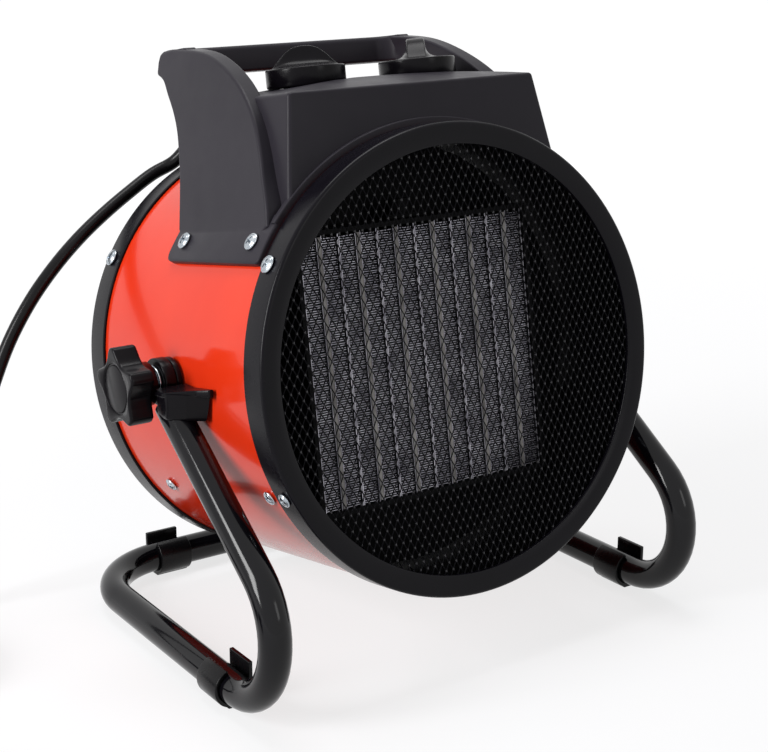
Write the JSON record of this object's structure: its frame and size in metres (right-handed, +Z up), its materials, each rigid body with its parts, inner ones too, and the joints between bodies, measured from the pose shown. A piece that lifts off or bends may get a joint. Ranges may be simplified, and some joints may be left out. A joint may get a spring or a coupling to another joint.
{
  "type": "forced air heater",
  "caption": "Red drum-shaped electric fan heater with a mesh front, fin knobs, a carrying handle and a black bent-tube stand that it tilts in.",
  "frame": {"origin": "on the floor under the middle of the heater's width and depth, cord not counted", "axes": "+X to the right seen from the front, +Y to the back, +Z up; the drum faces -Y with its nose 9.7 degrees up"},
  "size_m": [0.4626, 0.2333, 0.2862],
  "materials": {
    "red_paint": "high gloss red",
    "ring_paint": "semi-gloss black",
    "tube_paint": "gloss black",
    "housing_plastic": "fine-grained matte charcoal",
    "knob_plastic": "satin black",
    "rubber": "matte black",
    "zinc": "bright zinc plate",
    "sheet": "plain galvanised sheet",
    "dark_sheet": "black coated sheet",
    "fins": "bare aluminium folds",
    "inner_plastic": "heat-resistant pale plastic"
  },
  "bodies": {
    "stand": {"stand_tube": "tube_paint", "stand_eye_left": "knob_plastic", "stand_eye_right": "knob_plastic", "foot_front_left": "rubber", "foot_front_right": "rubber", "foot_rear_left": "rubber", "foot_rear_right": "rubber", "cord_lead": "rubber", "cord_coil": "rubber", "cord_tail": "rubber", "mains_plug": "rubber"},
    "heater": {"drum_shell": "red_paint", "front_ring": "ring_paint", "rear_ring": "ring_paint", "front_grille": "dark_sheet", "rear_grille": "dark_sheet", "chassis_rail_left": "dark_sheet", "chassis_rail_right": "dark_sheet", "ptc_row_1": "fins", "ptc_row_2": "fins", "ptc_row_3": "fins", "ptc_row_4": "fins", "ptc_row_5": "fins", "ptc_row_6": "fins", "element_frame": "dark_sheet", "baffle_plate": "dark_sheet", "thermal_cutout": "inner_plastic", "fan_motor": "sheet", "motor_bracket": "sheet", "control_housing": "housing_plastic", "thermostat": "inner_plastic", "power_switch": "inner_plastic", "terminal_block": "inner_plastic", "cord_boot": "rubber", "ring_screw_upper_left": "zinc", "ring_screw_upper_right": "zinc", "ring_screw_lower_left": "zinc", "ring_screw_lower_right": "zinc", "flange_screw_front_left": "zinc", "flange_screw_front_right": "zinc", "flange_screw_rear_left": "zinc", "flange_screw_rear_right": "zinc", "shell_screw_front_left": "zinc", "shell_screw_front_right": "zinc", "shell_screw_rear_left": "zinc", "shell_screw_rear_right": "zinc", "pivot_spacer_left": "knob_plastic", "clamp_nut_left": "sheet", "pivot_spacer_right": "knob_plastic", "clamp_nut_right": "sheet"},
    "fan": {"impeller": "dark_sheet", "motor_shaft": "zinc"},
    "thermostat_dial": {"thermostat_knob": "knob_plastic", "thermostat_spindle": "zinc"},
    "power_dial": {"power_knob": "knob_plastic", "switch_spindle": "zinc"},
    "washer_left": {"clamp_washer_left": "zinc"},
    "washer_right": {"clamp_washer_right": "zinc"},
    "clamp_left": {"clamp_knob_left": "knob_plastic"},
    "clamp_right": {"clamp_knob_right": "knob_plastic"}
  },
  "joints": [
    {"name": "tilt", "type": "hinge", "parent": "stand", "child": "heater", "pos_m": [0, 0.0043, 0.1364], "axis": [-1, 0, 0], "range_deg": [-30, 8], "deforming": ["cord_lead"]},
    {"name": "fan_spin", "type": "hinge", "parent": "heater", "child": "fan", "pos_m": [0, 0.0683, 0.12206], "axis": [0, 0.9858, -0.1678], "continuous": true},
    {"name": "thermostat_turn", "type": "hinge", "parent": "heater", "child": "thermostat_dial", "pos_m": [-0.0322, 0.00817, 0.27532], "axis": [0, 0.1678, 0.9858], "range_deg": [-90, 180]},
    {"name": "power_turn", "type": "hinge", "parent": "heater", "child": "power_dial", "pos_m": [0.0322, 0.00817, 0.27532], "axis": [0, 0.1678, 0.9858], "range_deg": [-90, 0]},
    {"name": "clamp_back_off_left", "type": "slide", "parent": "heater", "child": "washer_left", "axis": [-1, 0, 0], "range_m": [0, 0.0025]},
    {"name": "clamp_turn_left", "type": "hinge", "parent": "washer_left", "child": "clamp_left", "pos_m": [-0.13, 0.0043, 0.1364], "axis": [-1, 0, 0], "range_deg": [0, 720]},
    {"name": "clamp_back_off_right", "type": "slide", "parent": "heater", "child": "washer_right", "axis": [1, 0, 0], "range_m": [0, 0.0025]},
    {"name": "clamp_turn_right", "type": "hinge", "parent": "washer_right", "child": "clamp_right", "pos_m": [0.13, 0.0043, 0.1364], "axis": [1, 0, 0], "range_deg": [0, 720]}
  ],
  "couplings": [
    {"joint": "clamp_back_off_left", "follows": "clamp_turn_left", "m_per_rad": 0.00019894},
    {"joint": "clamp_back_off_right", "follows": "clamp_turn_right", "m_per_rad": 0.00019894}
  ]
}
